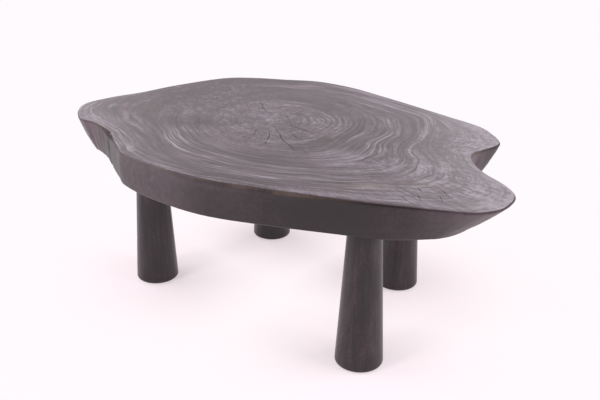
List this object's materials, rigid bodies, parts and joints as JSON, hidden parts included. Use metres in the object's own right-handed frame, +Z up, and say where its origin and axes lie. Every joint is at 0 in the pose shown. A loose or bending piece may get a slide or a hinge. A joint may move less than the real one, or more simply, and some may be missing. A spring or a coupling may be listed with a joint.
{
  "type": "live edge coffee table",
  "caption": "Low table: one thick black-stained slice of a tree with a lobed, undercut live edge, resting on tapered round legs that screw into its underside.",
  "frame": {"origin": "on the floor, under the middle of the slab's bounding box", "axes": "+Z up, +X along the slab's length towards the notched end, front towards -Y"},
  "size_m": [1.195, 0.8302, 0.413],
  "materials": {
    "slab_wood": "black stained end grain, rubbed back, satin",
    "leg_wood": "turned, black stained, low sheen",
    "insert_steel": "yellow passivated zinc on steel",
    "zinc_steel": "bright zinc plate, rolled threads",
    "glide_nylon": "moulded black nylon"
  },
  "bodies": {
    "root": {"live_edge_slab": "slab_wood", "leg_front_left": "leg_wood", "leg_front_right": "leg_wood", "leg_rear_left": "leg_wood", "leg_rear_right": "leg_wood", "threaded_insert_front_left": "insert_steel", "threaded_insert_front_right": "insert_steel", "threaded_insert_rear_left": "insert_steel", "threaded_insert_rear_right": "insert_steel", "hanger_bolt_front_left": "zinc_steel", "hanger_bolt_front_right": "zinc_steel", "hanger_bolt_rear_left": "zinc_steel", "hanger_bolt_rear_right": "zinc_steel", "foot_glide_front_left": "glide_nylon", "foot_glide_front_right": "glide_nylon", "foot_glide_rear_left": "glide_nylon", "foot_glide_rear_right": "glide_nylon", "glide_screw_front_left": "zinc_steel", "glide_screw_front_right": "zinc_steel", "glide_screw_rear_left": "zinc_steel", "glide_screw_rear_right": "zinc_steel"}
  },
  "joints": []
}
